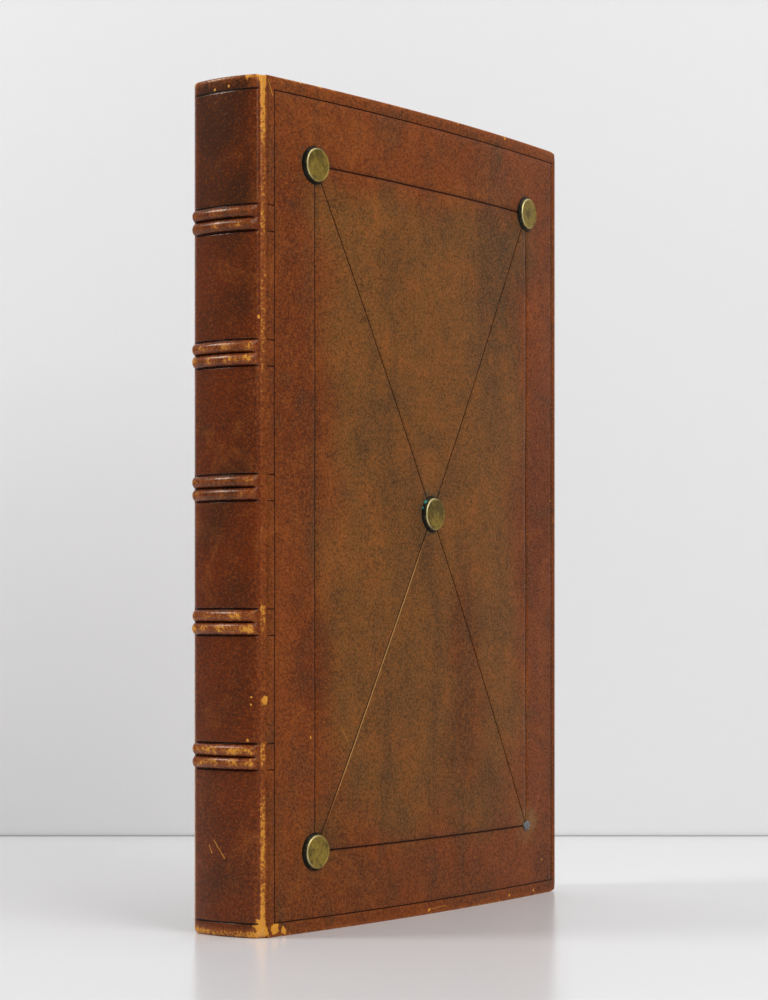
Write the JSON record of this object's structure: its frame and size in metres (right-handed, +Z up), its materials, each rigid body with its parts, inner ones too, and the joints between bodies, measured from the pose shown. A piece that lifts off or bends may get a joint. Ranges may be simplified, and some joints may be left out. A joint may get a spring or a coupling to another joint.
{
  "type": "antique leather book",
  "caption": "Tall calf-bound book standing on its tail, with double raised bands, ruled lines and brass bosses; both covers open on hinge joints.",
  "frame": {"origin": "on the surface that the book stands on, under the middle of its bounding box", "axes": "+Z up the standing book from tail to head, +X from the spine to the fore-edge, -Y out of the front cover"},
  "size_m": [0.2038, 0.0434, 0.31],
  "materials": {
    "calf": "mottled brown calf with a fine grain, polished and rubbed to ochre at the joints and bands",
    "millboard": "grey-brown rolled board",
    "leaves": "aged rag paper, cut edges",
    "endpaper": "plain laid paper, aged cream",
    "lining_paper": "pasted lining paper",
    "hemp_cord": "twisted hemp",
    "headband_thread": "worked thread over a core",
    "brass": "dull olive patina with bright rims and traces of verdigris",
    "iron": "dark grey forged nail"
  },
  "bodies": {
    "book_block": {"text_block": "leaves", "front_free_endpaper": "endpaper", "back_free_endpaper": "endpaper", "headband_head": "headband_thread", "headband_tail": "headband_thread", "sewing_cord_1": "hemp_cord", "sewing_cord_2": "hemp_cord", "sewing_cord_3": "hemp_cord", "sewing_cord_4": "hemp_cord", "sewing_cord_5": "hemp_cord", "spine_linings": "lining_paper", "spine_leather": "calf"},
    "front_cover": {"front_board": "millboard", "front_cover_leather": "calf", "front_pastedown": "endpaper", "front_slips": "hemp_cord", "nail_top_spine": "iron", "nail_top_fore": "iron", "nail_centre": "iron", "nail_bottom_spine": "iron", "nail_bottom_fore": "iron", "boss_top_spine": "brass", "boss_top_fore": "brass", "boss_centre": "brass", "boss_bottom_spine": "brass"},
    "back_cover": {"back_board": "millboard", "back_cover_leather": "calf", "back_pastedown": "endpaper", "back_slips": "hemp_cord"}
  },
  "joints": [
    {"name": "front_cover_hinge", "type": "hinge", "parent": "book_block", "child": "front_cover", "pos_m": [-0.0948, -0.01535, 0.155], "axis": [0, 0, -1], "range_deg": [0, 180]},
    {"name": "back_cover_hinge", "type": "hinge", "parent": "book_block", "child": "back_cover", "pos_m": [-0.0948, 0.01725, 0.155], "axis": [0, 0, 1], "range_deg": [0, 180]}
  ]
}
